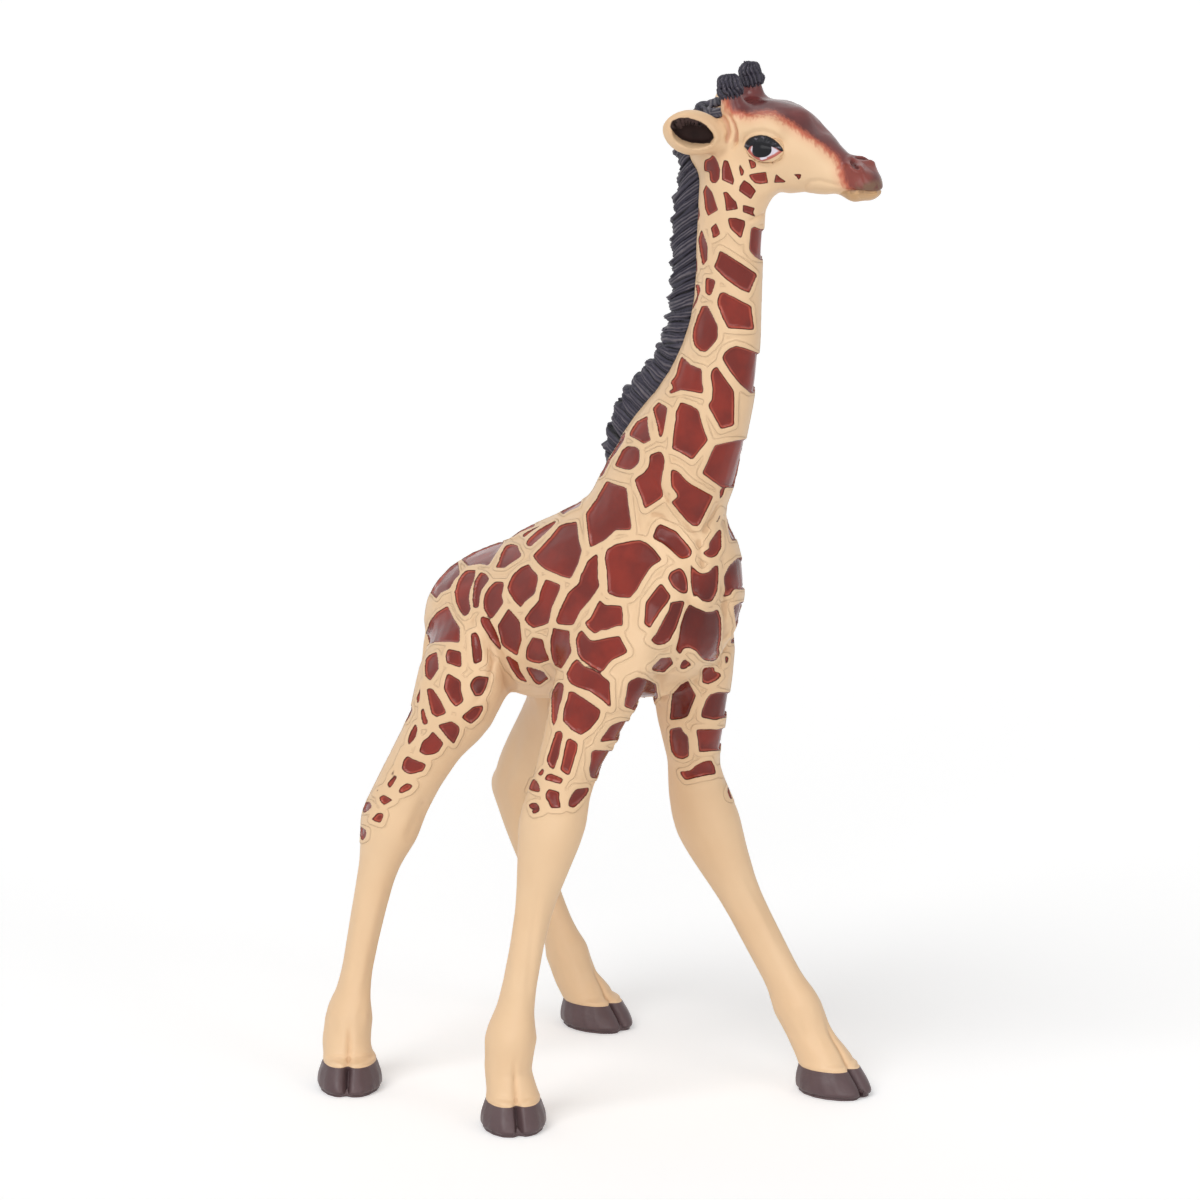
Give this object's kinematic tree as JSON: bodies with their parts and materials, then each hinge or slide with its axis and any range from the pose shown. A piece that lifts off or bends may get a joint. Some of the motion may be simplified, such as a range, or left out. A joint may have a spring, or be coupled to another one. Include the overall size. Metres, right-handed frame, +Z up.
{
  "type": "toy giraffe calf figure",
  "caption": "Moulded giraffe calf play figure, standing on splayed legs with its head turned, with a mane strip, tufted horns, cupped ears, glossy eyes, cloven hooves and a tasselled tail.",
  "frame": {"origin": "Middle of the footprint box, on the surface that the hooves stand on.", "axes": "+Z up, +X the way the body faces, +Y the animal's left side."},
  "size_m": [0.0832, 0.0572, 0.1506],
  "materials": {
    "coat": "satin cream paint with glossy red-brown patches",
    "hair": "satin blue-black paint over sculpted strands",
    "hoof_horn": "satin dark plum-brown paint",
    "eye_gloss": "gloss black paint"
  },
  "bodies": {
    "root": {"torso": "coat", "neck": "coat", "head": "coat", "ear_left": "coat", "ear_right": "coat", "front_left_leg": "coat", "front_right_leg": "coat", "hind_left_leg": "coat", "hind_right_leg": "coat", "tail": "coat", "mane": "hair", "horn_tuft_left": "hair", "horn_tuft_right": "hair", "tail_tuft": "hair", "front_left_hoof": "hoof_horn", "front_right_hoof": "hoof_horn", "hind_left_hoof": "hoof_horn", "hind_right_hoof": "hoof_horn", "eye_left": "eye_gloss", "eye_right": "eye_gloss"}
  },
  "joints": []
}
